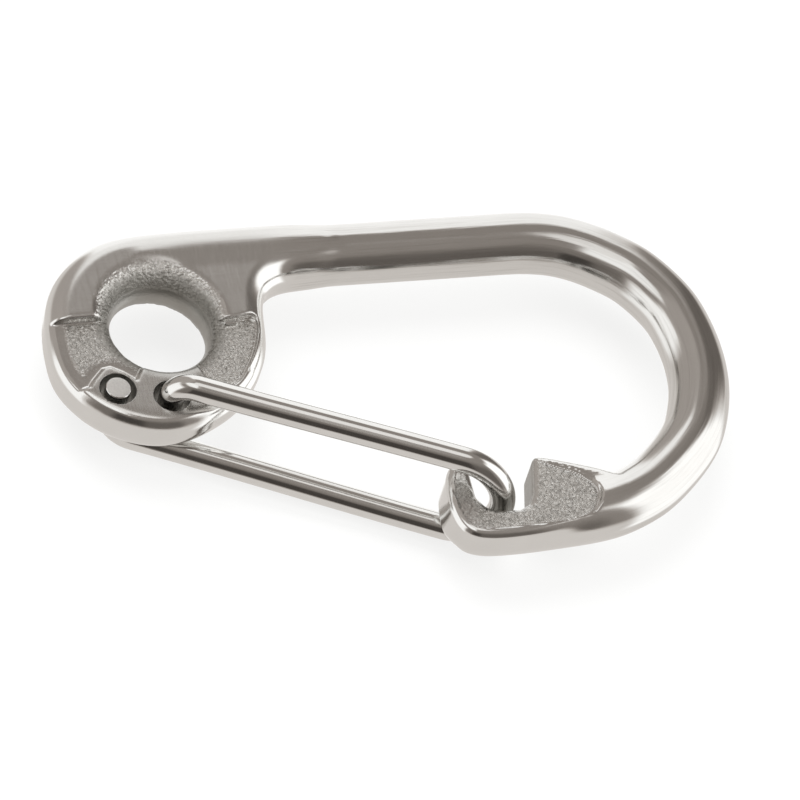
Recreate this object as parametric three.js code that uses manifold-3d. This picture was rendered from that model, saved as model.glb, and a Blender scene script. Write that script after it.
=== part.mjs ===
// Wire-gate snap hook with a captive eye: an investment-cast stainless hook and a sprung gate
// of bent round wire. Millimetres.
// The hook lies flat: XY is its mid-plane, +X runs from the eye to the crown, +Y to the spine,
// +Z out of the front face. The origin is the centre of the overall bounding box.
// All shapes are drawn from the centre of the eye, and the whole group is then moved.

import * as THREE from 'three';
import { mergeVertices } from 'three/addons/utils/BufferGeometryUtils.js';
import ManifoldModule from 'manifold-3d';

// ---- driving dimensions ----
const EYE_CENTRE = [-25.9766, 9.5219];  // from the centre of the bounding box

const BAR_R = 3.5;            // round bar of the spine and crown
const SPINE_Y = 9.9;          // bar centre line above the eye centre
const PLATE_H = 3.3;          // half thickness of the eye ring and web
const PLATE_ROUND = 2.6;      // rounding of its edge
const PIVOT_H = 2.8;          // half thickness of the flats round the gate holes
const RECESS_H = 2.35;        // half thickness in the leg-swing recess of the ring
const NOSE_H = 3.0;           // half thickness of the nose
const NOSE_ROUND = 1.5;       // rounding of its edge
const EYE_R = 5.6;            // narrowest radius of the eye
const EYE_FLARE = 3.0;        // radius of the eye's rounded rim
const HOLE_R = 2.1;           // gate holes
const CUT_Z = 6;              // cutters reach this far from the mid-plane
const NOTCH_CUT_Z = 5;        // the same for the notch cutter

const WIRE_R = 1.5;           // gate wire
const PIVOT_A = [-1.05, -9.9];   // hole of the front leg
const PIVOT_B = [-7.1, -8.45];   // hole of the back leg
const LEG_ANGLE = -23.75;     // direction of the closed gate, degrees from +X
const LEG_Z = 5.3;            // leg centre lines in front of and behind the mid-plane
const LEG_LENGTH = 39.2;      // hole A to the middle of the nose bend, along the leg
const WIRE_BEND = 2.5;        // centre-line radius of the bend into a hole
const PIN_END = 3.15;         // how far a pin reaches past the mid-plane
const SPLIT_GAP = 0.3;        // gap between the two halves of the wire at its nose bend

// ---- mesh resolution ----
const BAR_STEPS = 80;
const SPINE_KEEP = 6;         // on the straight spine one bar station in this many is kept
const BAR_SIDES = 22;
const RING_POINTS = 90;
const RING_BEVEL_STEPS = 4;
const NOSE_POINTS = 72;
const NOSE_BEVEL_STEPS = 3;
const RIM_STEPS = 12;
const EYE_SIDES = 48;
const HOLE_SIDES = 32;
const WIRE_SIDES = 16;
const PIN_BEND_STEPS = 6;
const NOSE_BEND_STEPS = 9;

// ---- outlines, each entry [x, y] from the eye centre ----

// Bar centre line, from the nose round the crown and back along the spine.
const BAR_LINE = [
  [41.0, -28.6], [46.8, -27.6], [49.99, -26.45], [52.53, -25.05], [54.9, -23.13],
  [57.09, -20.96], [59.08, -18.42], [60.48, -15.51], [61.42, -12.45], [61.84, -9.4],
  [61.8, -6.39], [61.43, -3.7], [60.75, -1.11], [59.63, 1.17], [58.29, 3.2],
  [56.84, 4.85], [55.05, 6.25], [53.26, 7.45], [51.35, 8.45], [49.33, 9.2],
  [47.19, 9.65], [44.8, 9.87], [40, SPINE_Y], [30, SPINE_Y], [20, SPINE_Y],
  [12, SPINE_Y], [5, 9.8], [0, 9.2],
];
const SPINE_ZONE = { minY: 9.6, maxX: 45 };  // where the bar is nearly straight

// Eye ring and the web that joins it to the spine; smoothed.
const RING_OUTLINE = [
  [20.5, 6.8], [17.6, 6.35], [15.4, 5.7], [13.6, 4.2], [12.7, 1.6], [12.25, -1.6],
  [11.4, -4.7], [9.6, -7.8], [7.4, -10.2], [4.7, -12.1], [1.6, -13.6], [-1.6, -14.2],
  [-4.6, -13.8], [-7.4, -12.65], [-9.95, -10.8], [-12.0, -8.2], [-13.2, -5.0], [-13.4, -1.4],
  [-12.8, 3.0], [-11.2, 7.0], [-8.4, 10.2], [-4.7, 12.35], [0.0, 13.2], [6.0, 13.36],
  [12.0, 13.41], [17.0, 13.36], [20.5, 13.0], [23.2, 11.9], [24.3, 9.9], [23.2, 7.9],
];

// Nose; smoothed.
const NOSE_OUTLINE = [
  [28.35, -23.2], [27.85, -26.0], [27.85, -28.9], [28.9, -31.3], [31.2, -32.3], [35.0, -32.42],
  [39.5, -32.15], [44.0, -31.7], [47.8, -30.85], [50.4, -29.3], [51.2, -27.4], [50.2, -25.4],
  [47.4, -23.9], [44.0, -22.75], [40.8, -21.75], [38.3, -21.3], [34.0, -21.36], [29.8, -21.5],
];

// Flat faces of the nose; the rounded +X limit cuts into the crest of the bar.
const NOSE_FACE = [
  [26, -20], [26, -34], [41.0, -34], [43.4, -31.2], [45.2, -29.5],
  [46.1, -27.8], [45.9, -26.3], [44.9, -24.6], [43.2, -22.9], [41.5, -20],
];

// Notch of the nose, open towards +Y.
const NOTCH = [
  [31.1, -18.0], [31.1, -27.0], [31.5, -27.8], [32.2, -28.3], [33.2, -28.5], [35.6, -28.5],
  [36.5, -28.3], [37.15, -27.8], [37.5, -27.0], [38.5, -22.2], [38.9, -21.2], [38.9, -18.0],
];

// Flats round the gate holes.
const PIVOT_FLAT = [
  [-12.0, -2.4], [-11.7, -6.6], [-9.9, -9.8], [-6.9, -11.9], [-3.6, -12.9], [-0.4, -12.7],
  [3.0, -11.5], [6.0, -9.6], [7.9, -7.4], [6.5, -5.5], [0, 0], [-6, 0.4],
];

// Recess the legs swing through.
const LEG_RECESS = [
  [6.2, 0.1], [10.9, 0.1], [10.9, -1.8], [10.2, -4.4],
  [8.6, -7.2], [6.6, -9.2], [3.2, -7.9], [2.0, -4.0],
];

// ---- solids and geometries ----
const wasm = await ManifoldModule();
wasm.setup();

// Triangles that fill every open boundary loop, as a flat list of vertex indices.
function missingTriangles(triangles) {
  const edges = new Set();
  for (let i = 0; i < triangles.length; i += 3) {
    for (let j = 0; j < 3; j += 1) {
      edges.add(`${triangles[i + j]},${triangles[i + ((j + 1) % 3)]}`);
    }
  }
  const open = new Map();
  for (const edge of edges) {
    const [from, to] = edge.split(',').map(Number);
    if (!edges.has(`${to},${from}`)) open.set(to, from);
  }
  const fill = [];
  while (open.size) {
    const first = open.keys().next().value;
    const loop = [first];
    for (let v = open.get(first); v !== first && v !== undefined; v = open.get(v)) loop.push(v);
    for (const vertex of loop) open.delete(vertex);
    for (let i = 1; i + 1 < loop.length; i += 1) fill.push(loop[0], loop[i], loop[i + 1]);
  }
  return fill;
}

function solid(geometry) {
  geometry.deleteAttribute('normal');
  geometry.deleteAttribute('uv');
  const merged = mergeVertices(geometry, 1e-5);
  const index = merged.index.array;
  const triangles = [];
  for (let i = 0; i < index.length; i += 3) {
    const [a, b, c] = [index[i], index[i + 1], index[i + 2]];
    if (a !== b && b !== c && c !== a) triangles.push(a, b, c);
  }
  // The triangulation of a lid leaves out a sliver where three outline points are nearly in line.
  triangles.push(...missingTriangles(triangles));
  return new wasm.Manifold(new wasm.Mesh({
    numProp: 3,
    vertProperties: new Float32Array(merged.attributes.position.array),
    triVerts: new Uint32Array(triangles),
  }));
}

function namedMesh(name, manifold, material) {
  const { vertProperties, triVerts } = manifold.getMesh();
  const geometry = new THREE.BufferGeometry();
  geometry.setAttribute('position', new THREE.BufferAttribute(new Float32Array(vertProperties), 3));
  geometry.setIndex(new THREE.BufferAttribute(new Uint32Array(triVerts), 1));
  geometry.computeVertexNormals();
  const mesh = new THREE.Mesh(geometry, material);
  mesh.name = name;
  return mesh;
}

function smoothCurve(points, closed) {
  const knots = points.map(([x, y]) => new THREE.Vector3(x, y, 0));
  return new THREE.CatmullRomCurve3(knots, closed, 'centripetal');
}

// A plate centred on the mid-plane with a smoothed outline and a rounded edge.
// Its flat top is the outline moved inwards by the rounding.
function roundedPlate({ points, divisions, half, round, bevelSegments }) {
  const outline = smoothCurve(points, true).getPoints(divisions).slice(0, -1)
    .map(({ x, y }) => new THREE.Vector2(x, y));
  const turn = THREE.ShapeUtils.isClockWise(outline) ? -1 : 1;
  const count = outline.length;
  const top = outline.map((point, i) => {
    const previous = outline[(i + count - 1) % count];
    const next = outline[(i + 1) % count];
    const before = new THREE.Vector2().subVectors(point, previous).normalize();
    const after = new THREE.Vector2().subVectors(next, point).normalize();
    const tangent = before.add(after).normalize();
    return new THREE.Vector2(
      point.x - turn * tangent.y * round,
      point.y + turn * tangent.x * round,
    );
  });
  const geometry = new THREE.ExtrudeGeometry(new THREE.Shape(top), {
    depth: 2 * (half - round),
    bevelThickness: round,
    bevelSize: round,
    bevelSegments,
  });
  geometry.translate(0, 0, -(half - round));
  return solid(geometry);
}

function prism(points, bottom, top) {
  const shape = new THREE.Shape(points.map(([x, y]) => new THREE.Vector2(x, y)));
  const geometry = new THREE.ExtrudeGeometry(shape, { depth: top - bottom, bevelEnabled: false });
  geometry.translate(0, 0, bottom);
  return solid(geometry);
}

// Cuts both faces down: each cut is [outline, half thickness left].
function cutFaces(body, cuts) {
  let result = body;
  for (const side of [1, -1]) {
    for (const [outline, half] of cuts) {
      const [bottom, top] = side > 0 ? [half, CUT_Z] : [-CUT_Z, -half];
      result = result.subtract(prism(outline, bottom, top));
    }
  }
  return result;
}

// A path given by its own stations, so that straight runs need no extra rings.
// It has only the methods that ExtrudeGeometry calls.
class StationPath extends THREE.Curve {
  constructor(points) {
    super();
    this.points = points;
  }

  // The mean direction of the runs before and after a station.
  getTangentAt(u, target = new THREE.Vector3()) {
    const last = this.points.length - 1;
    const i = Math.round(u * last);
    const run = (from) => new THREE.Vector3()
      .subVectors(this.points[from + 1], this.points[from]).normalize();
    target.set(0, 0, 0);
    if (i > 0) target.add(run(i - 1));
    if (i < last) target.add(run(i));
    return target.normalize();
  }

  getSpacedPoints() {
    return this.points.map((point) => point.clone());
  }
}

function sweep(stations, radius, sides) {
  const ring = [];
  for (let i = 0; i < sides; i += 1) {
    const angle = (2 * Math.PI * (i + 0.5)) / sides;
    ring.push(new THREE.Vector2(radius * Math.cos(angle), radius * Math.sin(angle)));
  }
  return solid(new THREE.ExtrudeGeometry(new THREE.Shape(ring), {
    steps: stations.length - 1,
    extrudePath: new StationPath(stations),
    bevelEnabled: false,
  }));
}

// ---- cast hook body ----
function makeBar() {
  const stations = smoothCurve(BAR_LINE, false).getSpacedPoints(BAR_STEPS).filter(({ x, y }, i) => {
    const straight = y > SPINE_ZONE.minY && x < SPINE_ZONE.maxX;
    return !straight || i % SPINE_KEEP === 0 || i === BAR_STEPS;
  });
  return sweep(stations, BAR_R, BAR_SIDES);
}

// Cutter for the eye with its rounded rims, turned about the eye's axis.
function makeEye() {
  const outer = EYE_R + EYE_FLARE;
  const profile = [new THREE.Vector2(0, -CUT_Z), new THREE.Vector2(outer, -CUT_Z)];
  for (let i = 0; i <= RIM_STEPS; i += 1) {
    const angle = -Math.PI / 2 + (Math.PI * i) / RIM_STEPS;
    profile.push(new THREE.Vector2(
      EYE_R + EYE_FLARE * (1 - Math.cos(angle)),
      EYE_FLARE * Math.sin(angle),
    ));
  }
  profile.push(new THREE.Vector2(outer, CUT_Z), new THREE.Vector2(0, CUT_Z));
  const geometry = new THREE.LatheGeometry(profile, EYE_SIDES);
  geometry.rotateX(Math.PI / 2);
  return solid(geometry);
}

function makeHole([x, y]) {
  const geometry = new THREE.CylinderGeometry(HOLE_R, HOLE_R, 2 * CUT_Z, HOLE_SIDES);
  geometry.rotateX(Math.PI / 2);
  geometry.translate(x, y, 0);
  return solid(geometry);
}

function makeBody() {
  let body = makeBar();
  body = body.add(roundedPlate({
    points: RING_OUTLINE,
    divisions: RING_POINTS,
    half: PLATE_H,
    round: PLATE_ROUND,
    bevelSegments: RING_BEVEL_STEPS,
  }));
  body = body.add(roundedPlate({
    points: NOSE_OUTLINE,
    divisions: NOSE_POINTS,
    half: NOSE_H,
    round: NOSE_ROUND,
    bevelSegments: NOSE_BEVEL_STEPS,
  }));
  body = cutFaces(body, [[NOSE_FACE, NOSE_H]]);
  body = body.subtract(prism(NOTCH, -NOTCH_CUT_Z, NOTCH_CUT_Z));
  body = body.subtract(makeEye());
  body = cutFaces(body, [[PIVOT_FLAT, PIVOT_H], [LEG_RECESS, RECESS_H]]);
  for (const centre of [PIVOT_A, PIVOT_B]) body = body.subtract(makeHole(centre));
  return body;
}

// ---- gate wire: two legs joined by the nose bend ----
const legAngle = LEG_ANGLE * Math.PI / 180;
const along = new THREE.Vector3(Math.cos(legAngle), Math.sin(legAngle), 0);
const across = new THREE.Vector3(-along.y, along.x, 0);
const pivotA = new THREE.Vector3(...PIVOT_A, 0);
const offsetB = new THREE.Vector3(...PIVOT_B, 0).sub(pivotA);
const lagB = offsetB.dot(along);      // negative: hole B is further from the nose than hole A
const dropB = offsetB.dot(across);    // negative: the back leg runs lower

// One half of the wire, from its pin to the nose bend; side +1 is the front half, -1 the back.
function makeWire(side) {
  const [start, rise] = side > 0 ? [0, 0] : [lagB, dropB];
  const at = (distance, offset, z) => pivotA.clone()
    .addScaledVector(along, distance).addScaledVector(across, offset).setZ(z);

  const pinTop = LEG_Z - WIRE_BEND;
  const stations = [at(start, rise, -side * PIN_END), at(start, rise, side * pinTop)];
  for (let i = 1; i <= PIN_BEND_STEPS; i += 1) {
    const angle = (Math.PI / 2) * (i / PIN_BEND_STEPS);
    const distance = start + WIRE_BEND * (1 - Math.cos(angle));
    stations.push(at(distance, rise, side * (pinTop + WIRE_BEND * Math.sin(angle))));
  }

  const bendStart = LEG_LENGTH - LEG_Z;
  stations.push(at((start + bendStart) / 2, rise, side * LEG_Z));

  // The nose bend stops half the split gap short of the mid-plane.
  const lastAngle = Math.acos(SPLIT_GAP / 2 / LEG_Z);
  for (let i = 0; i <= NOSE_BEND_STEPS; i += 1) {
    const angle = lastAngle * (i / NOSE_BEND_STEPS);
    const offset = dropB / 2 - side * (dropB / 2) * Math.cos(angle);
    const distance = bendStart + LEG_Z * Math.sin(angle);
    stations.push(at(distance, offset, side * LEG_Z * Math.cos(angle)));
  }
  return sweep(stations, WIRE_R, WIRE_SIDES);
}

// ---- materials ----
function castSteel() {
  return new THREE.MeshStandardMaterial({ color: 0xb4b2ad, roughness: 0.18, metalness: 1.0 });
}

function wireSteel() {
  return new THREE.MeshStandardMaterial({ color: 0xc0beb9, roughness: 0.12, metalness: 1.0 });
}

// ---- assembly ----
const gate = new THREE.Group();
gate.add(
  namedMesh('gate_wire_front', makeWire(1), wireSteel()),
  namedMesh('gate_wire_back', makeWire(-1), wireSteel()),
);

const hook = new THREE.Group();
hook.position.set(...EYE_CENTRE, 0);
hook.add(namedMesh('hook_body', makeBody(), castSteel()), gate);

export default hook;
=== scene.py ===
"""A cast stainless hook with a bent-wire gate, lying flat with its middle plane at z = 0.

The spine runs along x on the +y side. At its -x end is a head with a round eye, and at its +x end
the bar curls round through -y and back to the nose. The gate is one wire: two legs, in front (+z)
and behind (-z), pinned in the head and joined by a bend at the nose.
Shapes are worked out in millimetres from the eye's centre, then moved to the frame in metres.
"""
import math
from collections import namedtuple

import bpy
import numpy as np
from mathutils import Matrix, Vector


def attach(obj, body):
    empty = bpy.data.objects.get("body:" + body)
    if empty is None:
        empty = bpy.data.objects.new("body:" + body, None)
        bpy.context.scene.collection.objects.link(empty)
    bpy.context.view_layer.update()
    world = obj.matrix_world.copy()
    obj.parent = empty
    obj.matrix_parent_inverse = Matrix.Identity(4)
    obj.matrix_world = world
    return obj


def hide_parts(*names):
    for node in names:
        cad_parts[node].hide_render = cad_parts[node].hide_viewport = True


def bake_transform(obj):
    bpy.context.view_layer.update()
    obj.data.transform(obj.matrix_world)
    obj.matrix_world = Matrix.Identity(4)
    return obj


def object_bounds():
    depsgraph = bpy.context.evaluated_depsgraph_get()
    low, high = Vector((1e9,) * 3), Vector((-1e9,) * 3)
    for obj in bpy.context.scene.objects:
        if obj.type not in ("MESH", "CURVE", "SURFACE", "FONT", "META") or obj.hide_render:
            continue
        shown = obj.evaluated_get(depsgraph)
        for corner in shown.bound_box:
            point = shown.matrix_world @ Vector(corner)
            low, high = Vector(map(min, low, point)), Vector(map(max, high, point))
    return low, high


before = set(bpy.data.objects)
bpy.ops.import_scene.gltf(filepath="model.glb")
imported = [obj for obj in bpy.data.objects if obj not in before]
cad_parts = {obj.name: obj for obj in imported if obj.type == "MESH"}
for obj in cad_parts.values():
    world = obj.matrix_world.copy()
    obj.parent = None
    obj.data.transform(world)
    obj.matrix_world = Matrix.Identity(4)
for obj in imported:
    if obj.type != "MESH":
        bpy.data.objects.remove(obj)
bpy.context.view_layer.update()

# ---- sizes, in millimetres; half heights are measured from the middle plane -----------------------
ORIGIN_X, ORIGIN_Y = 25.9766, -9.5219   # the frame's origin, seen from the eye's centre
BAR_R = 3.5
SPINE_Y = 9.9
PLATE_H = 3.42                          # half height of the head
PIVOT_H = 2.8                           # of the flats round the gate holes
RECESS_H = 2.35                         # of the recess beside the eye
STEP_H = RECESS_H - 0.1                 # of the step on the head's -x side
NOSE_H = 3.0                            # of the nose
SUNK_H = NOSE_H - 0.17                  # of the nose's face inside its rim
EYE_R = 5.6
EYE_FLARE_H = 3.9                       # half height of the eye's flared throat
HOLE_R = 2.1
SLOT_R = 0.9                            # rounding added outside the slot's polygon
FRONT_HOLE = np.array([-1.05, -9.9])
BACK_HOLE = np.array([-7.1, -8.45])
HOLES = (FRONT_HOLE, BACK_HOLE)

WIRE_R = 1.5
WIRE_SIDES = 40
LEG_ANGLE = math.radians(-23.75)
LEG_LENGTH = 39.2
# each leg's distance from the middle plane at its hole and at the nose, and the bend at its hole
LEG_FRONT = dict(near=5.2, far=5.6, bend=2.5)
LEG_BACK = dict(near=5.05, far=5.75, bend=3.3)
NOSE_BEND = 5.6
PIN_END = 3.0
# wire ends, from the flat disc over a small chamfer: distance in from the end, radius
WIRE_END = ((0.0, 0.4), (0.0, 0.9), (0.0, 1.36), (0.01, 1.39), (0.04, 1.43), (0.09, 1.465),
            (0.15, 1.485), (0.22, 1.496), (0.4, WIRE_R))
DISC_RINGS = 3                          # how many of them lie on the flat disc

GRID_STEP = 0.34
GRID_X = (-14.6, 66.6)
GRID_Y = (-33.6, 14.7)
GRID_Z = 4.2


def to_frame(points):
    points = np.asarray(points, float)
    return (points - (ORIGIN_X, ORIGIN_Y, 0.0)) * 1e-3


def unit(vectors):
    return vectors / np.linalg.norm(vectors, axis=1)[:, None]


# ---- distances: negative inside -------------------------------------------------------------------
class Spline:
    """A cubic spline through plane points, and the distance to it."""

    def __init__(self, points, closed):
        p = np.array(points, float)
        if closed:
            p = np.vstack([p, p[:1]])
        n = len(p)
        self.closed = closed
        chord = np.sqrt(np.linalg.norm(np.diff(p, axis=0), axis=1))
        t = np.concatenate([[0.0], np.cumsum(chord)])
        h = np.diff(t)
        matrix = np.zeros((n, n))
        rhs = np.zeros((n, 2))
        slope = np.diff(p, axis=0) / h[:, None]
        for i in range(1, n - 1):
            matrix[i, i - 1:i + 2] = h[i - 1], 2 * (h[i - 1] + h[i]), h[i]
            rhs[i] = 6 * (slope[i] - slope[i - 1])
        if closed:
            matrix[0, 0], matrix[0, -1] = 1, -1
            matrix[-1, :2] = 2 * h[0], h[0]
            matrix[-1, -2:] = h[-1], 2 * h[-1]
            rhs[-1] = 6 * (slope[0] - slope[-1])
        else:
            matrix[0, 0] = matrix[-1, -1] = 1
        self.moments = np.linalg.solve(matrix, rhs)
        self.knots, self.points, self.spans = t, p, h
        self.sample_t = np.linspace(0, t[-1], 40 * n + 1)
        self.sample_p = self.at(self.sample_t)[0]
        sx, sy = self.sample_p.T
        area = 0.5 * np.sum(sx[:-1] * sy[1:] - sx[1:] * sy[:-1])
        self.turn = 1.0 if area > 0 else -1.0

    def at(self, t):
        """Position, first and second derivative."""
        i = np.searchsorted(self.knots, t, side="right") - 1
        i = np.clip(i, 0, len(self.spans) - 1)
        h = self.spans[i][:, None]
        a = (self.knots[i + 1] - t)[:, None]
        c = (t - self.knots[i])[:, None]
        m0, m1, p0, p1 = self.moments[i], self.moments[i + 1], self.points[i], self.points[i + 1]
        start, end = p0 / h - m0 * h / 6, p1 / h - m1 * h / 6
        position = m0 * a**3 / (6 * h) + m1 * c**3 / (6 * h) + start * a + end * c
        first = -m0 * a**2 / (2 * h) + m1 * c**2 / (2 * h) - start + end
        second = m0 * a / h + m1 * c / h
        return position, first, second

    def guess(self, points):
        """Parameter of the nearest sample, found in blocks to save memory."""
        out = np.empty(len(points))
        samples = self.sample_p.astype(np.float32)
        size = 20000
        for k in range(0, len(points), size):
            block = points[k:k + size].astype(np.float32)
            d = (block[:, 0:1] - samples[None, :, 0]) ** 2
            d = d + (block[:, 1:2] - samples[None, :, 1]) ** 2
            out[k:k + size] = self.sample_t[np.argmin(d, axis=1)]
        return out

    def distance(self, points, t):
        """Distance by Newton steps from a guess t; signed for a closed curve."""
        end = self.knots[-1]
        for _ in range(4):
            position, first, second = self.at(t)
            r = position - points
            g = np.sum(r * first, axis=1)
            speed = np.sum(first * first, axis=1)
            k = speed + np.sum(r * second, axis=1)
            k = np.where(k > 0.15 * speed, k, speed)
            t = t - np.clip(g / k, -0.3, 0.3)
            t = np.mod(t, end) if self.closed else np.clip(t, 0, end)
        position, first, _ = self.at(t)
        r = points - position
        d = np.linalg.norm(r, axis=1)
        if not self.closed:
            return d
        side = (r[:, 0] * first[:, 1] - r[:, 1] * first[:, 0]) * self.turn
        return np.where(side > 0, d, -d)


def polygon_distance(points, corners):
    q = points[:, :2]
    v = np.array(corners, float)
    d = np.full(len(q), 1e9)
    sign = np.ones(len(q))
    for i in range(len(v)):
        a, b = v[i], v[i - 1]
        e = b - a
        w = q - a
        k = np.clip((w @ e) / (e @ e), 0, 1)
        r = w - k[:, None] * e
        d = np.minimum(d, np.sum(r * r, axis=1))
        above = q[:, 1] >= a[1]
        below = q[:, 1] < b[1]
        left = e[0] * w[:, 1] > e[1] * w[:, 0]
        flip = (above & below & left) | (~above & ~below & ~left)
        sign = np.where(flip, -sign, sign)
    return sign * np.sqrt(d)


def smooth_min(a, b, blend):
    h = np.maximum(blend - np.abs(a - b), 0.0) / blend
    return np.minimum(a, b) - h * h * h * blend / 6.0


def smooth_max(a, b, blend):
    return -smooth_min(-a, -b, blend)


def plate(d, z, half, edge_r):
    """A plate of half height `half` over the region d < 0, its edge rounded."""
    qx = d + edge_r
    qz = np.abs(z) - half + edge_r
    outside = np.hypot(np.maximum(qx, 0), np.maximum(qz, 0))
    return np.minimum(np.maximum(qx, qz), 0) + outside - edge_r


def ramp(x, start, end):
    """Smooth step from 0 at start to 1 at end."""
    t = np.clip((x - start) / (end - start), 0, 1)
    return t * t * (3 - 2 * t)


# ---- outlines: x, y ------------------------------------------------------------------------------
Plan = namedtuple("Plan", "bar head nose face pivot recess")
CURVES = Plan(
    # centre line of the round bar, from the nose round to the spine
    bar=Spline([
        [32.6, -28.3], [37.2, -28.5], [41.8, -28.3], [46.8, -27.6], [49.99, -26.45],
        [52.53, -25.05], [54.9, -23.13], [57.09, -20.96], [59.08, -18.42], [60.48, -15.51],
        [61.42, -12.45], [61.84, -9.4], [61.8, -6.39], [61.43, -3.7], [60.75, -1.11],
        [59.63, 1.17], [58.29, 3.2], [56.84, 4.85], [55.05, 6.25], [53.26, 7.45], [51.35, 8.45],
        [49.33, 9.2], [47.19, 9.65], [44.8, 9.87], [40, SPINE_Y], [30, SPINE_Y], [20, SPINE_Y],
        [12, SPINE_Y], [5, 9.8], [0, 9.2]], closed=False),
    # the head: ring and web round the eye
    head=Spline([
        [20.5, 6.75], [17.6, 6.35], [15.4, 5.7], [13.6, 4.2], [12.7, 1.6], [12.25, -1.6],
        [11.4, -4.7], [9.6, -7.8], [7.4, -10.2], [4.7, -12.0], [1.6, -13.4], [-1.6, -13.98],
        [-4.6, -13.58], [-7.4, -12.45], [-9.95, -10.65], [-12.0, -8.1], [-13.2, -5.0],
        [-13.4, -1.4], [-12.8, 3.0], [-11.2, 7.0], [-8.4, 10.2], [-4.7, 12.35], [0.0, 13.2],
        [6.0, 13.36], [12.0, 13.41], [17.0, 13.36], [20.5, 13.0], [23.2, 11.9], [24.3, 9.9],
        [23.2, 7.9]], closed=True),
    nose=Spline([
        [28.35, -23.2], [27.85, -26.0], [27.9, -28.8], [28.95, -31.1], [31.2, -32.1],
        [35.0, -32.2], [39.0, -31.7], [43.0, -30.6], [46.4, -29.3], [48.6, -28.0], [49.4, -26.6],
        [48.8, -25.2], [47.0, -23.9], [44.0, -22.75], [40.8, -21.75], [38.3, -21.3],
        [34.0, -21.36], [29.8, -21.5]], closed=True),
    # region of the nose cut flat
    face=Spline([
        [40.6, -31.6], [43.2, -30.5], [44.8, -29.1], [45.5, -27.6], [45.3, -26.2],
        [44.2, -24.8], [42.4, -23.6], [40.2, -22.4], [37.0, -18.5], [30.0, -18.0],
        [25.2, -21.0], [24.6, -28.0], [26.0, -35.5], [34.0, -37.0], [39.2, -34.2]], closed=True),
    # flats round the gate holes
    pivot=Spline([
        [-14.8, -2.0], [-15.2, -9.0], [-12.4, -14.2], [-6.4, -16.8], [0.0, -17.0], [5.2, -15.2],
        [8.6, -11.4], [8.6, -7.4], [7.0, -4.5], [1.0, -2.0], [-4.0, -1.0], [-9.5, 0.2]],
        closed=True),
    # recess on the +x side of the eye
    recess=Spline([
        [7.0, 0.0], [9.0, 0.05], [10.7, 0.25], [11.15, -0.6], [10.7, -2.5], [9.85, -4.6],
        [8.5, -6.8], [6.9, -8.6], [5.0, -9.0], [3.6, -7.6], [3.0, -5.0], [4.2, -2.0],
        [5.6, -0.3]], closed=True))
# notch in the nose, open towards +y
SLOT = [[32.0, -16.0], [32.0, -26.3], [32.6, -27.2], [33.6, -27.6], [35.6, -27.6],
        [36.4, -27.2], [36.9, -26.2], [37.9, -21.6], [38.1, -16.0]]
# lower step on the -x side of the head
STEP = [[-14.5, 1.2], [-14.5, -7.9], [-12.1, -8.1], [-10.25, -7.75], [-9.6, -6.9],
        [-8.1, -5.35], [-7.2, -5.2], [-6.0, -6.0], [-4.6, -7.2], [-2.0, -3.0], [-6.0, 1.4]]


# ---- hook body: distance field -------------------------------------------------------------------
def slot_distance(points):
    return polygon_distance(points, SLOT) - SLOT_R


def hole_distance(points, hole):
    """Distance from a gate hole's axis."""
    return np.hypot(points[:, 0] - hole[0], points[:, 1] - hole[1])


def towards_spine(y, rho):
    """1 on the eye's +y side, falling to 0 at its middle and beyond."""
    return np.clip(y / np.maximum(rho, 1e-6), 0, 1)


def nose_edge(y, z):
    """Rounding of the nose's edges: larger along its -y side, and most on the back (-z)."""
    extra = np.where(z > 0, 0.15, 0.15 + 1.55 * ramp(-z, 0.0, 0.6))
    return 1.1 + ramp(-y, 27.0, 30.5) * extra


def nose_face(plan, edge_r):
    """The nose's face inside its rim, in plan."""
    inside = smooth_min(plan.nose, plan.bar - BAR_R, blend=0.8)
    return smooth_max(inside + 0.86 * edge_r, plan.face + 0.3, blend=0.5)


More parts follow.
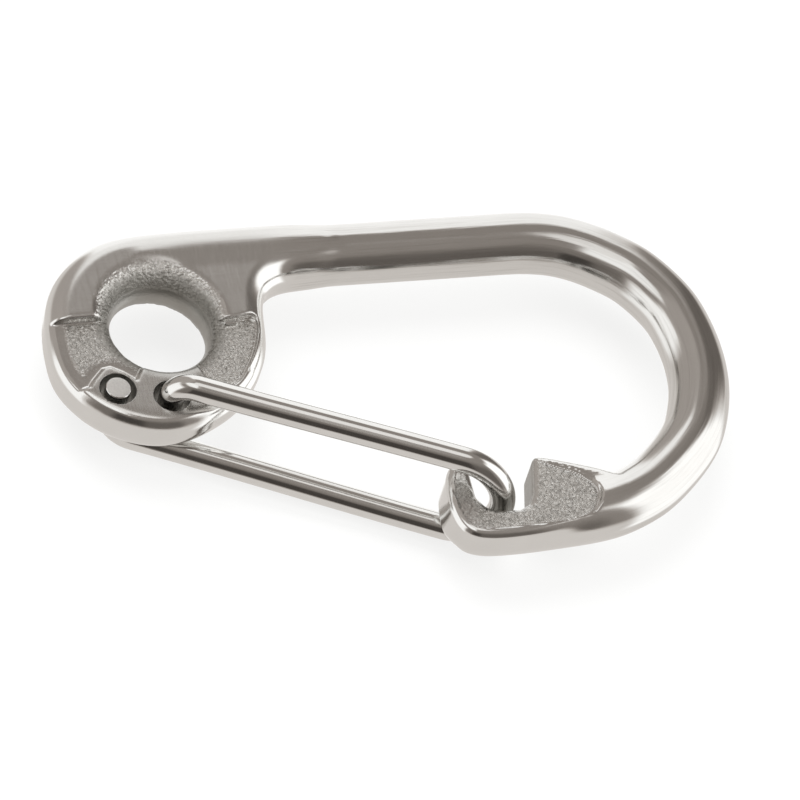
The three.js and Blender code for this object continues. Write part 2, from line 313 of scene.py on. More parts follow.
class Field:
    """The body's distance field; guesses of the nearest curve points are kept between calls."""

    def __init__(self, points):
        self.nearest = Plan(*[c.guess(points[:, :2]) for c in CURVES])

    def plan(self, points):
        return Plan(*[c.distance(points[:, :2], t) for c, t in zip(CURVES, self.nearest)])

    def __call__(self, points, plan=None):
        x, y, z = points.T
        height = np.abs(z)
        if plan is None:
            plan = self.plan(points)
        # bar and head, the head's edge rounder at the -y side of its back
        bar = np.hypot(plan.bar, z) - BAR_R
        head_edge = 2.7 + 0.5 * ramp(-y, 4.0, 9.0) * ramp(-z, 0.0, 0.6)
        f = smooth_min(bar, plate(plan.head, z, PLATE_H, head_edge), blend=1.1)
        # the eye, a throat of elliptic section that flares wider on its +y side
        rho = np.hypot(x, y)
        flare = 4.0 + 1.9 * towards_spine(y, rho)
        g = np.maximum(EYE_R + flare - rho, 0) / flare
        e = np.sqrt(g * g + (z / EYE_FLARE_H) ** 2) + 1e-9
        slope = np.hypot(g / flare / e, z / (EYE_FLARE_H * EYE_FLARE_H) / e + 1e-9)
        f = smooth_max(f, np.where(rho < EYE_R + flare, (e - 1) / slope, -9.0), blend=0.22)
        # cuts in the head's faces
        f = smooth_max(f, -np.maximum(PIVOT_H - height, plan.pivot), blend=0.8)
        cut = smooth_max(RECESS_H - height, plan.recess, blend=0.4)
        f = smooth_max(f, -cut, blend=0.55)
        cut = smooth_max(STEP_H - height, polygon_distance(points, STEP), blend=0.5)
        f = smooth_max(f, -cut, blend=0.8)
        # nose: flat-faced block, its face sunk a little below the rim, and its notch
        edge_r = nose_edge(y, z)
        f = smooth_min(f, plate(plan.nose, z, NOSE_H, edge_r), blend=1.0)
        f = smooth_max(f, -smooth_max(NOSE_H - height, plan.face, blend=0.3), blend=0.6)
        sunk = smooth_max(nose_face(plan, edge_r), SUNK_H - height, blend=0.15)
        f = smooth_max(f, -sunk, blend=0.15)
        f = smooth_max(f, -slot_distance(points), blend=1.5)
        for hole in HOLES:
            f = smooth_max(f, HOLE_R - hole_distance(points, hole), blend=0.2)
        return f


def gradient(field, points, step=0.004):
    g = np.empty_like(points)
    for k in range(3):
        move = np.zeros(3)
        move[k] = step
        g[:, k] = (field(points + move) - field(points - move)) / (2 * step)
    return g


def project(v, steps=2):
    """Moves points onto the field's zero surface."""
    field = Field(v)
    for _ in range(steps):
        g = gradient(field, v)
        f = field(v)
        move = np.clip(f / np.maximum(np.sum(g * g, axis=1), 0.3), -0.25, 0.25)
        v = v - move[:, None] * g
    return v, field


# ---- hook body: mesh -----------------------------------------------------------------------------
def surface_nets(values, origin, step):
    """Quads of the zero surface of a grid of values, one vertex per crossed cell."""
    cell_shape = tuple(n - 1 for n in values.shape)
    total = np.zeros(cell_shape + (3,), np.float32)
    count = np.zeros(cell_shape, np.float32)
    solid = values < 0
    crossings = []
    for axis in range(3):
        low = [slice(None)] * 3
        high = [slice(None)] * 3
        low[axis] = slice(0, -1)
        high[axis] = slice(1, None)
        low, high = tuple(low), tuple(high)
        at = np.nonzero(solid[low] != solid[high])
        a, b = values[low][at], values[high][at]
        position = np.stack(at, 1).astype(np.float32)
        position[:, axis] += a / (a - b)
        crossings.append((axis, np.stack(at, 1), solid[low][at]))
        o1, o2 = [m for m in range(3) if m != axis]
        for d1 in (0, -1):
            for d2 in (0, -1):
                c = list(at)
                c[o1] = c[o1] + d1
                c[o2] = c[o2] + d2
                ok = (c[o1] >= 0) & (c[o2] >= 0)
                ok &= (c[o1] < count.shape[o1]) & (c[o2] < count.shape[o2])
                cell = tuple(m[ok] for m in c)
                np.add.at(total, cell, position[ok])
                np.add.at(count, cell, 1)
    used = count > 0
    number = -np.ones(count.shape, np.int64)
    number[used] = np.arange(used.sum())
    verts = total[used] / count[used][:, None] * step + np.array(origin)
    quads = []
    for axis, at, inside in crossings:
        o1, o2 = [(1, 2), (2, 0), (0, 1)][axis]
        corners = []
        for d1, d2 in ((-1, -1), (0, -1), (0, 0), (-1, 0)):
            cell = at.copy()
            cell[:, o1] += d1
            cell[:, o2] += d2
            corners.append(number[tuple(cell.T)])
        quad = np.stack(corners, 1)
        quad[~inside] = quad[~inside][:, ::-1]
        quads.append(quad)
    return verts, np.vstack(quads)


def smooth_once(v, quads, amount):
    total = np.zeros_like(v)
    count = np.zeros(len(v))
    for a in range(4):
        b = (a + 1) % 4
        for here, there in ((quads[:, a], quads[:, b]), (quads[:, b], quads[:, a])):
            np.add.at(total, here, v[there])
            np.add.at(count, here, 1)
    return v + amount * (total / count[:, None] - v)


def body_quads(step):
    x = np.arange(*GRID_X, step)
    y = np.arange(*GRID_Y, step)
    z = np.arange(-GRID_Z - step / 2, GRID_Z + step, step)
    z = z - (z[0] + z[-1]) / 2
    X, Y = np.meshgrid(x, y, indexing="ij")
    flat = np.stack([X.ravel(), Y.ravel()], 1)
    field = Field(flat)
    plan = field.plan(flat)
    values = np.empty((len(x), len(y), len(z)), np.float32)
    for k, level in enumerate(z):
        layer = np.column_stack([flat, np.full(len(flat), level)])
        values[:, :, k] = field(layer, plan).reshape(len(x), len(y))
    v, quads = surface_nets(values, (x[0], y[0], z[0]), step)
    v, _ = project(v.astype(float))
    for _ in range(2):
        v = smooth_once(v, quads, amount=0.5)
        v, _ = project(v)
    v, field = project(v)
    return v, quads, field


def refine(v, quads, chosen):
    """Splits the chosen quads into four; a neighbour keeps the new edge point as a corner."""
    middles = {}
    added = []

    def edges(quad):
        return [(min(a, b), max(a, b)) for a, b in zip(quad, quad[1:] + quad[:1])]

    for quad in quads[chosen].tolist():
        for edge in edges(quad):
            if edge not in middles:
                middles[edge] = len(v) + len(added)
                added.append((v[edge[0]] + v[edge[1]]) / 2)
    faces = []
    for quad, split in zip(quads.tolist(), chosen.tolist()):
        mids = [middles.get(edge) for edge in edges(quad)]
        if split:
            c = len(v) + len(added)
            p0, p1, p2, p3 = quad
            m0, m1, m2, m3 = mids
            added.append((v[p0] + v[p1] + v[p2] + v[p3]) / 4)
            faces += [(p0, m0, c, m3), (m0, p1, m1, c), (c, m1, p2, m2), (m3, c, m2, p3)]
        else:
            corners = [p for pair in zip(quad, mids) for p in pair]
            faces.append(tuple(p for p in corners if p is not None))
    return np.vstack([v, np.array(added)]) if added else v, faces


def sharp_lines(v):
    """Vertices near the rims of the step, the gate holes and the recess."""
    height = np.abs(v[:, 2])
    rho = np.hypot(v[:, 0], v[:, 1])
    near = (np.abs(polygon_distance(v, STEP)) < 0.45) & (height > 1.5) & (rho > 5.8)
    for hole in HOLES:
        near |= (np.abs(hole_distance(v, hole) - HOLE_R) < 0.4) & (height > 2.0)
    flat = v[:, :2]
    recess = np.abs(CURVES.recess.distance(flat, CURVES.recess.guess(flat)))
    return near | ((recess < 0.4) & (height > 1.8) & (rho > 6.5))


# ---- hook body: surface finish -------------------------------------------------------------------
def value_noise(p, scale, seed):
    q = p / scale
    i = np.floor(q).astype(np.int64)
    f = q - i
    f = f * f * f * (f * (f * 6 - 15) + 10)

    def lattice(ix, iy, iz):
        n = (ix * 73856093) ^ (iy * 19349663) ^ (iz * 83492791) ^ (seed * 2654435761)
        for shift in (13, 11):
            n = (n ^ (n >> shift)) & 0x7FFFFFFF
            n = (n * 1103515245 + 12345) & 0x7FFFFFFF
        return n / float(0x7FFFFFFF)

    out = 0
    for dx in (0, 1):
        for dy in (0, 1):
            for dz in (0, 1):
                w = f[:, 0] if dx else 1 - f[:, 0]
                w = w * (f[:, 1] if dy else 1 - f[:, 1])
                w = w * (f[:, 2] if dz else 1 - f[:, 2])
                out = out + w * lattice(i[:, 0] + dx, i[:, 1] + dy, i[:, 2] + dz)
    return out * 2 - 1


def cast_grain(p):
    """Height of the as-cast grain: a fine and a coarser layer."""
    fine = value_noise(p, scale=0.3, seed=3)
    coarse = value_noise(p + 7.7, scale=0.6, seed=5)
    return 0.085 * (0.7 * fine + 0.3 * coarse)


def rough_mask(v, plan):
    """Where the casting is left rough."""
    x, y, z = v.T
    height = np.abs(z)
    rho = np.hypot(x, y)
    # nose faces, smoother in the arm on the -x side of the notch
    nose = ramp(-nose_face(plan, nose_edge(y, z)), -0.02, 0.3)
    nose = nose * ramp(height, NOSE_H - 0.5, NOSE_H - 0.3) * ramp(slot_distance(v), 0.35, 0.8)
    arm = ramp(30.6 - x + 0.5 * np.clip(y + 27.5, 0, 3), -0.6, 1.0)
    nose = nose * (1 - 0.6 * arm)
    # the eye's flare, with a wavering outer edge; its narrowest part and -y side are smooth
    edge = 7.5 + 0.9 * towards_spine(y, rho)
    edge = edge + 0.22 * value_noise(np.column_stack([x, y, np.zeros(len(x))]), 1.1, 11)
    eye = ramp(rho, EYE_R + 0.32, EYE_R + 0.6) * (1 - ramp(rho - edge, -0.7, 0.45))
    eye = eye * ramp(height, 1.2, 1.7) * ramp(y + 0.25 * x, -3.2, -0.8)
    # floors of the recess and the step
    recess = ramp(-plan.recess, 0.1, 0.5) * (1 - ramp(height, RECESS_H + 0.12, RECESS_H + 0.4))
    recess = recess * ramp(height, 1.6, 2.1) * ramp(-plan.head, 0.75, 1.25)
    step = ramp(-polygon_distance(v, STEP), 0.1, 0.5)
    step = step * (1 - ramp(height, RECESS_H + 0.1, RECESS_H + 0.35)) * ramp(height, 1.5, 2.0)
    step = step * ramp(-plan.head, 1.7, 2.4) * ramp(hole_distance(v, BACK_HOLE), 3.3, 5.2)
    return np.clip(np.maximum.reduce([nose, eye, recess, step]), 0, 1)


def brushed_mask(v, plan):
    """Brushed rather than mirror polished: hole flats, head faces, nose faces, eye throat."""
    height = np.abs(v[:, 2])
    rho = np.hypot(v[:, 0], v[:, 1])
    pivot = ramp(-plan.pivot, 0.0, 0.3) * ramp(height, PIVOT_H - 0.15, PIVOT_H - 0.05)
    head = ramp(height, PLATE_H - 0.3, PLATE_H - 0.1) * ramp(rho, 8.0, 8.6)
    head = head * (1 - ramp(v[:, 0], 12.0, 20.0))
    nose = ramp(-plan.face, 0.0, 0.3) * ramp(height, NOSE_H - 0.2, NOSE_H - 0.06)
    eye = (1 - ramp(rho, 6.2, 7.0)) * 0.8
    return np.clip(np.maximum.reduce([pivot, head * 0.75, nose, eye]), 0, 1)


def skin_mask(v):
    """Dark unpolished skin with painted shade laid over it: the throat of the eye, the notch and the
    gate holes.
    """
    height = np.abs(v[:, 2])
    rho = np.hypot(v[:, 0], v[:, 1])
    eye = (1 - ramp(rho, EYE_R + 0.7, EYE_R + 2.4)) * (1 - ramp(height, 2.6, 3.3))
    slot = 1 - ramp(slot_distance(v), 0.05, 0.5)
    slot = slot * (1 - ramp(height, NOSE_H - 0.75, NOSE_H - 0.3))
    holes = [1 - ramp(hole_distance(v, hole), HOLE_R + 0.02, HOLE_R + 0.15) for hole in HOLES]
    return np.clip(np.maximum.reduce([eye, slot, *holes]), 0, 1)


def bar_coordinates(v, bar_t):
    """Arc length along the bar, sideways place across it, and a mask of the bar itself."""
    bar = CURVES.bar
    steps = np.linalg.norm(np.diff(bar.sample_p, axis=0), axis=1)
    arc = np.interp(bar_t, bar.sample_t, np.concatenate([[0], np.cumsum(steps)]))
    foot, along, _ = bar.at(bar_t)
    side = (v[:, 0] - foot[:, 0]) * along[:, 1] - (v[:, 1] - foot[:, 1]) * along[:, 0]
    side = side / np.linalg.norm(along, axis=1)
    on_bar = (1 - ramp(np.hypot(side, v[:, 2]), 3.7, 4.3)) * ramp(v[:, 0], 12.0, 20.0)
    on_bar = on_bar * np.where(v[:, 1] < -15.0, ramp(v[:, 0], 44.0, 52.0), 1.0)
    return arc, side, on_bar


def make_mesh(name, verts, faces):
    mesh = bpy.data.meshes.new(name)
    mesh.from_pydata(to_frame(verts).tolist(), [], faces)
    mesh.validate(clean_customdata=False)
    mesh.update()
    mesh.polygons.foreach_set("use_smooth", np.ones(len(mesh.polygons), bool))
    obj = bpy.data.objects.new(name, mesh)
    bpy.context.scene.collection.objects.link(obj)
    return obj


def set_attributes(obj, **attributes):
    for name, values in attributes.items():
        attribute = obj.data.attributes.new(name, "FLOAT", "POINT")
        attribute.data.foreach_set("value", values.astype(np.float32))


def build_hook():
    v, quads, field = body_quads(GRID_STEP)
    rough = rough_mask(v, field.plan(v))
    chosen = (rough[quads].max(axis=1) > 0.03) | sharp_lines(v)[quads].any(axis=1)
    v, faces = refine(v, quads, chosen)
    v, field = project(v)
    normals = unit(gradient(field, v))
    plan = field.plan(v)
    rough = rough_mask(v, plan)
    brushed = brushed_mask(v, plan)
    skin = skin_mask(v)
    # the grain stands in the surface itself, and its slope tilts the normals
    lift = rough * cast_grain(v)
    step = 0.03
    slope = [(cast_grain(v + e) - cast_grain(v - e)) / (2 * step) for e in step * np.eye(3)]
    slope = np.stack(slope, 1) * rough[:, None]
    slope -= np.sum(slope * normals, axis=1)[:, None] * normals
    grain_normals = unit(normals - slope)
    v = v + normals * lift[:, None]

    hook = make_mesh("cast_hook", v, faces)
    arc, side, on_bar = bar_coordinates(v, field.nearest.bar)
    set_attributes(hook, rough_cast=rough, bar_arc=arc, bar_side=side, on_bar=on_bar,
                   brushed=brushed, skin=skin)
    hook.data.update()
    hook.data.normals_split_custom_set_from_vertices(grain_normals.tolist())
    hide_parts("hook_body")
    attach(hook, "hook")
    return hook


# ---- gate wire -----------------------------------------------------------------------------------
ALONG = np.array([math.cos(LEG_ANGLE), math.sin(LEG_ANGLE), 0.0])
ACROSS = np.array([-ALONG[1], ALONG[0], 0.0])
UP = np.array([0.0, 0.0, 1.0])
WIRE_START = np.array([*FRONT_HOLE, 0.0])
HOLE_OFFSET = np.array([*(BACK_HOLE - FRONT_HOLE), 0.0])
# the back hole's place from the front one, along and across the legs
LAG, DROP = float(HOLE_OFFSET @ ALONG), float(HOLE_OFFSET @ ACROSS)
BEND_START = LEG_LENGTH - NOSE_BEND


def wire_point(s, across, z):
    return WIRE_START + ALONG * s + ACROSS * across + UP * z


def wire_half(side, start, across, near, far, bend):
    """Stations from a pin's end, along its leg (side 1 front, -1 back) to the nose's middle."""
    points = [wire_point(start, across, side * z) for z in np.linspace(-PIN_END, near - bend, 16)]
    for i in range(1, 17):
        a = math.pi / 2 * i / 16
        z = near - bend + bend * math.sin(a)
        points.append(wire_point(start + bend * (1 - math.cos(a)), across, side * z))
    first = start + bend
    for s in np.linspace(first, BEND_START, 66)[1:-1]:
        z = near + (far - near) * ramp(s, first, BEND_START)
        points.append(wire_point(s, across, side * z))
    for i in range(33):
        a = math.pi / 2 * i / 32
        w = DROP / 2 - side * DROP / 2 * math.cos(a)
        points.append(wire_point(BEND_START + NOSE_BEND * math.sin(a), w, side * far * math.cos(a)))
    return points


def wire_rings():
    """Rings of vertices from the front pin's end to the back pin's end."""
    front = wire_half(1, 0.0, 0.0, **LEG_FRONT)
    back = wire_half(-1, LAG, DROP, **LEG_BACK)
    path = np.array(front + back[::-1][1:])
    tangents = unit(np.gradient(path, axis=0))
    # carried along the path without twist
    normals = np.empty_like(path)
    normal = ACROSS
    for i, tangent in enumerate(tangents):
        normal = normal - tangent * (normal @ tangent)
        normal /= np.linalg.norm(normal)
        normals[i] = normal
    binormals = np.cross(tangents, normals)
    a = 2 * np.pi * np.arange(WIRE_SIDES) / WIRE_SIDES

    def ring(i, radius, shift=0.0):
        circle = np.cos(a)[:, None] * normals[i] + np.sin(a)[:, None] * binormals[i]
        return path[i] + tangents[i] * shift + radius * circle

    rings = [ring(0, radius, inward) for inward, radius in WIRE_END]
    rings += [ring(i, WIRE_R) for i in range(3, len(path) - 3)]
    rings += [ring(-1, radius, -inward) for inward, radius in WIRE_END[::-1]]
    return rings, path[0], path[-1]


def build_gate_wire():
    rings, first_cap, last_cap = wire_rings()
    count = len(rings)
    verts = np.vstack(rings + [first_cap[None], last_cap[None]])
    first = count * WIRE_SIDES
    last_ring = first - WIRE_SIDES
    faces = []
    for i in range(count - 1):
        for k in range(WIRE_SIDES):
            a = i * WIRE_SIDES + k
            b = i * WIRE_SIDES + (k + 1) % WIRE_SIDES
            faces.append((a, b, b + WIRE_SIDES, a + WIRE_SIDES))
    for k in range(WIRE_SIDES):
        following = (k + 1) % WIRE_SIDES
        faces.append((first, following, k))
        faces.append((first + 1, last_ring + k, last_ring + following))
    wire = make_mesh("gate_wire", verts, faces)

    def per_vertex(ring_values, caps):
        return np.concatenate([np.repeat(ring_values, WIRE_SIDES), caps])

    centres = np.array([r.mean(0) for r in rings])
    steps = np.linalg.norm(np.diff(centres, axis=0), axis=1)
    length = np.concatenate([[0], np.cumsum(steps)])
    turn = np.zeros(len(verts))
    turn[:first] = np.tile(np.arange(WIRE_SIDES) / WIRE_SIDES, count)
    tip = np.zeros(count)
    tip[:DISC_RINGS] = tip[-DISC_RINGS:] = 1.0
    set_attributes(wire, arc=per_vertex(length, [0, length[-1]]),
                   round=np.cos(2 * np.pi * turn), round2=np.sin(2 * np.pi * turn),
                   tip=per_vertex(tip, [1.0, 1.0]))

    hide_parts("gate_wire_front", "gate_wire_back")
    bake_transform(wire)
    return wire


# ---- node helpers --------------------------------------------------------------------------------
class Graph:
    def __init__(self, tree, output="ShaderNodeOutputMaterial"):
        self.tree = tree
        tree.nodes.clear()
        self.out = self.add(output)

    def add(self, kind, **settings):
        node = self.tree.nodes.new(kind)
        for name, value in settings.items():
            setattr(node, name, value)
        return node

    def fill(self, socket, value):
        """Links a socket's value, or sets a plain one."""
        if isinstance(value, bpy.types.NodeSocket):
            self.tree.links.new(value, socket)
        else:
            socket.default_value = value

    def node(self, kind, inputs, **settings):
        """Adds a node, fills its inputs by name or number, and returns its first output."""
        node = self.add(kind, **settings)
        for key, value in inputs.items():
            self.fill(node.inputs[key], value)
        return node.outputs[0]

    def math(self, operation, *values, clamp=False):
        inputs = dict(enumerate(values))
        return self.node("ShaderNodeMath", inputs, operation=operation, use_clamp=clamp)

    def times(self, a, b, clamp=False):
        return self.math("MULTIPLY", a, b, clamp=clamp)

    def plus(self, a, b):
        return self.math("ADD", a, b)

    def mix(self, factor, low, high):
        """Value between low (factor 0) and high (factor 1)."""
        return self.node("ShaderNodeMix", {0: factor, 2: low, 3: high}, data_type="FLOAT")

    def mix_colour(self, factor, low, high):
        node = self.add("ShaderNodeMix", data_type="RGBA")
        for key, value in ((0, factor), (6, low), (7, high)):
            self.fill(node.inputs[key], value)
        return node.outputs[2]

    def mix_shader(self, factor, low, high):
        return self.node("ShaderNodeMixShader", {0: factor, 1: low, 2: high})

    def noise(self, vector, scale, detail, roughness):
        return self.node("ShaderNodeTexNoise", {
            "Scale": scale, "Detail": detail, "Roughness": roughness, "Vector": vector})

    def attribute(self, name):
        return self.add("ShaderNodeAttribute", attribute_name=name).outputs["Fac"]

    def place(self):
        return self.add("ShaderNodeTexCoord").outputs["Object"]

    def vector(self, *parts):
        """Texture coordinates from three (value, scale) pairs."""
        scaled = [self.times(value, scale) for value, scale in parts]
        return self.node("ShaderNodeCombineXYZ", dict(enumerate(scaled)))

    def stretched(self, vector, scale, turn):
        """Coordinates scaled per axis and turned about z, in degrees."""
        return self.node("ShaderNodeMapping", {
            "Scale": scale, "Rotation": (0, 0, math.radians(turn)), "Vector": vector})

    def finish_metal(self, colour, roughness, height):
        """A metal surface with its relief given as a height in metres."""
        bump = self.node("ShaderNodeBump", {"Strength": 1.0, "Distance": 1.0, "Height": height})
        metal = self.node("ShaderNodeBsdfPrincipled", {
            "Metallic": 1.0, "Base Color": colour, "Roughness": roughness, "Normal": bump})
        self.fill(self.out.inputs[0], metal)


def new_material(name):
    material = bpy.data.materials.new(name)
    material.use_nodes = True
    return material, Graph(material.node_tree)


# ---- materials -----------------------------------------------------------------------------------
def cast_steel():
    material, g = new_material("cast_stainless_polished")
    place = g.place()
    rough_cast = g.attribute("rough_cast")
    brushed = g.attribute("brushed")
    arc = g.attribute("bar_arc")
    side = g.attribute("bar_side")
    on_bar = g.attribute("on_bar")
    skin = g.attribute("skin")
    split = g.add("ShaderNodeSeparateXYZ")
    g.fill(split.inputs[0], place)
    z = split.outputs[2]
    # polishing lines and broad bands along the bar, and lines near the x direction elsewhere
    lines_at = g.vector((arc, 0.09), (side, 3.4), (z, 3400.0))
    bar_lines = g.noise(lines_at, scale=1.0, detail=5, roughness=0.62)
    bands_at = g.vector((arc, 0.05), (side, 0.9), (z, 900.0))
    bar_bands = g.noise(bands_at, scale=1.0, detail=3, roughness=0.5)
    flat_at = g.stretched(place, scale=(300, 3800, 3800), turn=8)
    flat_lines = g.noise(flat_at, scale=1.0, detail=4, roughness=0.6)
    lines = g.mix(on_bar, flat_lines, bar_lines)
    # brushing strokes, orange peel, fine grain, pits and broad tarnish
    brush_at = g.stretched(place, scale=(4200, 300, 4200), turn=-28)
    strokes = g.noise(brush_at, scale=1.0, detail=4, roughness=0.6)
    peel = g.noise(place, scale=330, detail=2, roughness=0.5)
    grain = g.noise(place, scale=4000, detail=4, roughness=0.6)
    pits = g.node("ShaderNodeTexVoronoi", {"Scale": 3200, "Vector": place}, feature="SMOOTH_F1")
    tarnish = g.noise(place, scale=130, detail=4, roughness=0.6)

    # colour: polished metal with darker bands, dulled where brushed, speckled where rough
    colour = g.mix_colour(tarnish, low=(0.72, 0.715, 0.70, 1), high=(0.83, 0.825, 0.81, 1))
    band_share = g.times(bar_bands, g.times(on_bar, 0.35))
    colour = g.mix_colour(band_share, colour, high=(0.52, 0.505, 0.48, 1))
    dull = g.mix_colour(strokes, low=(0.56, 0.55, 0.53, 1), high=(0.74, 0.73, 0.71, 1))
    colour = g.mix_colour(g.times(brushed, 0.75), colour, dull)
    speck = g.mix_colour(pits, low=(0.92, 0.91, 0.88, 1), high=(0.34, 0.33, 0.31, 1))
    colour = g.mix_colour(rough_cast, colour, speck)
    # dark streaks where the bar's lines are strong, and dark unpolished skin with painted shade in
    # the throat, notch and holes
    streak = g.times(g.math("SUBTRACT", bar_lines, 0.5), 5.0, clamp=True)
    streak = g.times(g.times(streak, on_bar), 0.24)
    colour = g.mix_colour(streak, colour, high=(0.36, 0.335, 0.31, 1))
    # painted shade: the walls of the throat, notch and holes are darkened in their colour as if
    # shadowed, on top of their dull skin
    skin_shade_depth = g.mix(tarnish, low=0.55, high=1.0)
    colour = g.mix_colour(g.times(skin, skin_shade_depth), colour, high=(0.25, 0.24, 0.215, 1))

    roughness = g.mix(lines, low=0.08, high=0.19)
    roughness = g.mix(brushed, roughness, g.mix(strokes, low=0.20, high=0.34))
    roughness = g.mix(rough_cast, roughness, g.mix(grain, low=0.16, high=0.36))
    roughness = g.mix(skin, roughness, g.mix(grain, low=0.30, high=0.46))

    # each layer's full height, in metres
    height = g.plus(g.times(peel, 9e-6), g.times(lines, 4.2e-6))
    height = g.plus(height, g.times(g.times(strokes, brushed), 3e-6))
    rough_height = g.plus(g.times(grain, 1.1e-4), g.times(pits, 9e-5))
    height = g.plus(height, g.times(rough_height, rough_cast))
    height = g.plus(height, g.times(g.times(grain, skin), 4e-5))
    height = g.plus(height, g.times(g.times(bar_bands, on_bar), 5e-5))
    g.finish_metal(colour, roughness, height)
    return material


def wire_steel():
    material, g = new_material("drawn_spring_wire")
    arc = g.attribute("arc")
    cosine = g.attribute("round")
    sine = g.attribute("round2")
    draw_at = g.vector((arc, 0.05), (cosine, 9.0), (sine, 9.0))
    draw_lines = g.noise(draw_at, scale=1.0, detail=4, roughness=0.6)
    scuff_at = g.vector((arc, 0.35), (cosine, 1.3), (sine, 1.3))
    scuff = g.noise(scuff_at, scale=1.0, detail=5, roughness=0.6)
    colour = g.mix_colour(scuff, low=(0.72, 0.715, 0.70, 1), high=(0.84, 0.835, 0.82, 1))
    roughness = g.mix(draw_lines, low=0.06, high=0.17)
    # the sawn ends are dull and pale
    tip = g.attribute("tip")
    sawn = g.noise(g.place(), scale=3600, detail=3, roughness=0.6)
    pale = g.mix_colour(sawn, low=(0.78, 0.775, 0.76, 1), high=(0.96, 0.955, 0.94, 1))
    colour = g.mix_colour(tip, colour, pale)
    roughness = g.mix(tip, roughness, g.mix(sawn, low=0.42, high=0.6))
    # each layer's full height, in metres
    height = g.plus(g.times(draw_lines, 3.5e-6), g.times(scuff, 2e-6))
    height = g.plus(height, g.times(g.times(sawn, tip), 5e-5))
    g.finish_metal(colour, roughness, height)
    return material


def floor_material():
    """A pale floor, mostly glowing so that shadows stay light."""
    material, g = new_material("pale_floor")
    soft = g.noise(g.place(), scale=9, detail=2, roughness=0.5)
    pale = g.mix_colour(soft, low=(0.93, 0.93, 0.925, 1), high=(0.96, 0.96, 0.955, 1))
    diffuse = g.node("ShaderNodeBsdfDiffuse", {"Color": pale})
    glow = g.node("ShaderNodeEmission", {"Color": pale, "Strength": 1.0})
    g.fill(g.out.inputs[0], g.mix_shader(0.8, diffuse, glow))
    return material


# ---- stage ---------------------------------------------------------------------------------------
FLOOR_HALF = 3.0
FLOOR_GAP = 0.0002


def build_floor():
    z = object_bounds()[0][2] - FLOOR_GAP
    mesh = bpy.data.meshes.new("floor")
    corners = [(-1, -1), (1, -1), (1, 1), (-1, 1)]
    mesh.from_pydata([(x * FLOOR_HALF, y * FLOOR_HALF, z) for x, y in corners], [], [(0, 1, 2, 3)])
    floor = bpy.data.objects.new("floor", mesh)
    bpy.context.scene.collection.objects.link(floor)
    floor.visible_glossy = False
    mesh.materials.append(floor_material())


# Surroundings seen in the metal, each laid over the ones before. Columns, angles in degrees:
# azimuth from +x towards +y (None: all round), half width, lowest and highest elevation,
# softness of the sides and lower edge, softness of the upper edge, brightness.
ROOM_LEVEL = 0.29
PANELS = (
    (128, 36, -40, 62, 12, 12, 0.42),        # plain wall, -x +y
    (None, None, -91, -18, 18, 18, 0.74),    # the table below
    (-97, 32, -3, 22, 12, 38, 0.135),        # the dark side of the room, -y
    (-132, 10, 4, 34, 16, 26, 0.19),
    (-114, 9, 0, 26, 8, 14, 0.06),
    (-12, 22, -34, 46, 13, 13, 1.38),        # large softbox, +x
    (37, 8, -4, 40, 9, 18, 0.16),            # gap between the softbox and the window
    (74, 12, -58, 41.5, 8, 8, 1.15),         # window, +y
    (173, 22, -22, 28, 12, 12, 1.18),        # window on the -x side, lower pane
    (-160, 40, 56, 84, 9, 9, 1.12),          # and its upper pane
    (None, None, 79, 91, 5, 5, 0.95),        # lamp overhead
)


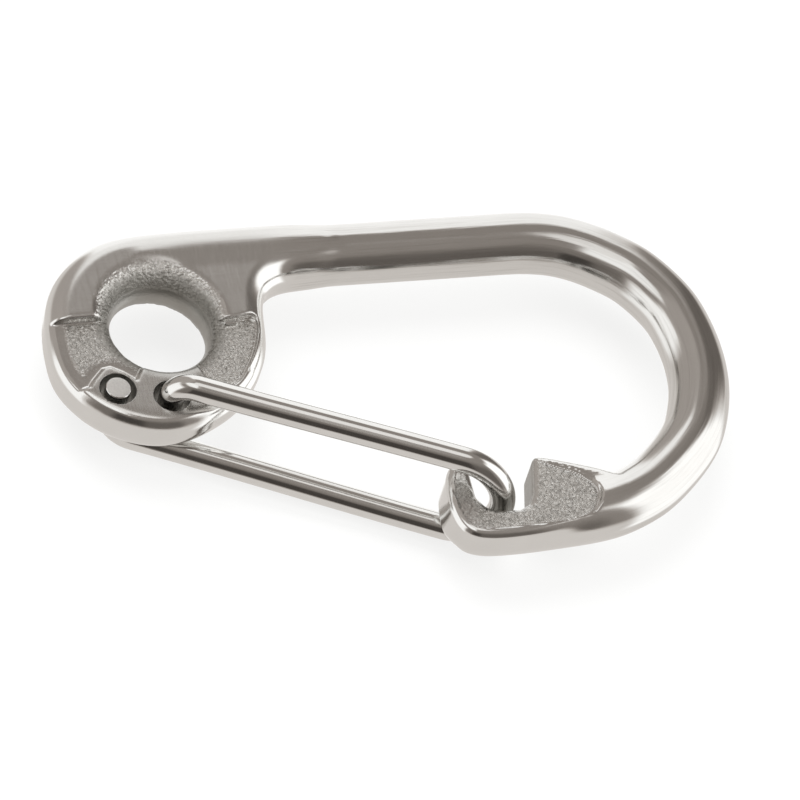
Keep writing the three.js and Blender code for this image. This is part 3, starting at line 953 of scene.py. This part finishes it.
def build_world():
    """Soft panels for reflections, a plain pale room for every other ray."""
    world = bpy.data.worlds.new("studio")
    bpy.context.scene.world = world
    world.use_nodes = True
    g = Graph(world.node_tree, "ShaderNodeOutputWorld")
    incoming = g.add("ShaderNodeNewGeometry").outputs["Incoming"]
    view = g.node("ShaderNodeVectorMath", {"Scale": -1.0, 0: incoming}, operation="SCALE")
    split = g.add("ShaderNodeSeparateXYZ")
    g.fill(split.inputs[0], view)
    dx, dy, dz = split.outputs
    elevation = g.math("ARCSINE", g.math("MAXIMUM", g.math("MINIMUM", dz, 1.0), -1.0))

    def band(value, *degrees):
        """1 between low and high, falling to 0 over a soft edge on each side."""
        low, high, soft_low, soft_high = (math.radians(d) for d in degrees)
        edges = [g.node("ShaderNodeMapRange", {"Value": value, "From Min": dark, "From Max": lit},
                        interpolation_type="SMOOTHSTEP")
                 for dark, lit in ((low - soft_low, low), (high + soft_high, high))]
        return g.times(*edges)

    def turn_from(azimuth):
        a = math.radians(azimuth)
        x = g.plus(g.times(dx, math.cos(a)), g.times(dy, math.sin(a)))
        y = g.math("SUBTRACT", g.times(dy, math.cos(a)), g.times(dx, math.sin(a)))
        return g.math("ARCTAN2", y, x)

    level = ROOM_LEVEL
    for azimuth, half_width, low, high, soft, soft_top, brightness in PANELS:
        if azimuth is None:
            mask = band(elevation, low, high, soft, soft_top)
        else:
            sides = band(turn_from(azimuth), -half_width, half_width, soft, soft)
            mask = g.times(sides, band(elevation, low, high, soft, soft_top))
        level = g.mix(mask, level, brightness)

    # dim parts of the room are warm, bright ones nearly white
    glossy = g.add("ShaderNodeLightPath").outputs["Is Glossy Ray"]
    tint = g.mix_colour(g.times(level, 0.9, clamp=True),
                        low=(1.0, 0.865, 0.76, 1), high=(1.0, 0.995, 0.985, 1))
    reflected = g.node("ShaderNodeBackground", {"Color": tint, "Strength": level})
    plain = g.node("ShaderNodeBackground", {"Color": (0.97, 0.97, 0.965, 1), "Strength": 1.0})
    g.fill(g.out.inputs[0], g.mix_shader(glossy, plain, reflected))


def add_disc_light(name, location, size, power):
    """A round light aimed at the origin, hidden from reflections."""
    light = bpy.data.lights.new(name, "AREA")
    light.shape = "DISK"
    light.size = size
    light.energy = power
    obj = bpy.data.objects.new(name, light)
    obj.location = location
    obj.rotation_mode = "QUATERNION"
    obj.rotation_quaternion = (-Vector(location)).to_track_quat("-Z", "Y")
    obj.visible_glossy = False
    bpy.context.scene.collection.objects.link(obj)


# the camera looks from the +z side, leaning towards -y and -x, through a long lens
CAMERA_RIGHT = Vector((0.95312, -0.22470, 0.20267))
CAMERA_UP = Vector((0.06481, 0.80582, 0.58860))
CAMERA_BACK = Vector((-0.29557, -0.54787, 0.78261))
CAMERA_TARGET = Vector((0.0003, -0.0012, 0.0))
CAMERA_DISTANCE = 3.2
VIEW_WIDTH = 0.0905       # width seen at the target, in metres
SENSOR_WIDTH = 36.0       # in millimetres


def build_camera():
    data = bpy.data.cameras.new("camera")
    camera = bpy.data.objects.new("camera", data)
    bpy.context.scene.collection.objects.link(camera)
    data.sensor_width = SENSOR_WIDTH
    data.lens = SENSOR_WIDTH * CAMERA_DISTANCE / VIEW_WIDTH
    data.clip_start, data.clip_end = 0.1, 30.0
    rotation = Matrix((CAMERA_RIGHT, CAMERA_UP, CAMERA_BACK)).transposed()
    camera.rotation_mode = "QUATERNION"
    camera.rotation_quaternion = rotation.to_quaternion()
    camera.location = CAMERA_TARGET + CAMERA_BACK * CAMERA_DISTANCE
    bpy.context.scene.camera = camera


hook = build_hook()
wire = build_gate_wire()
hook.data.materials.append(cast_steel())
wire.data.materials.append(wire_steel())
build_floor()
build_world()
add_disc_light("key", location=(-0.2, 0.5, 0.9), size=0.9, power=9.0)
add_disc_light("fill", location=(0.5, -0.5, 0.8), size=0.9, power=4.0)
build_camera()
bpy.context.scene.view_settings.view_transform = "Standard"
bpy.context.scene.view_settings.look = "None"
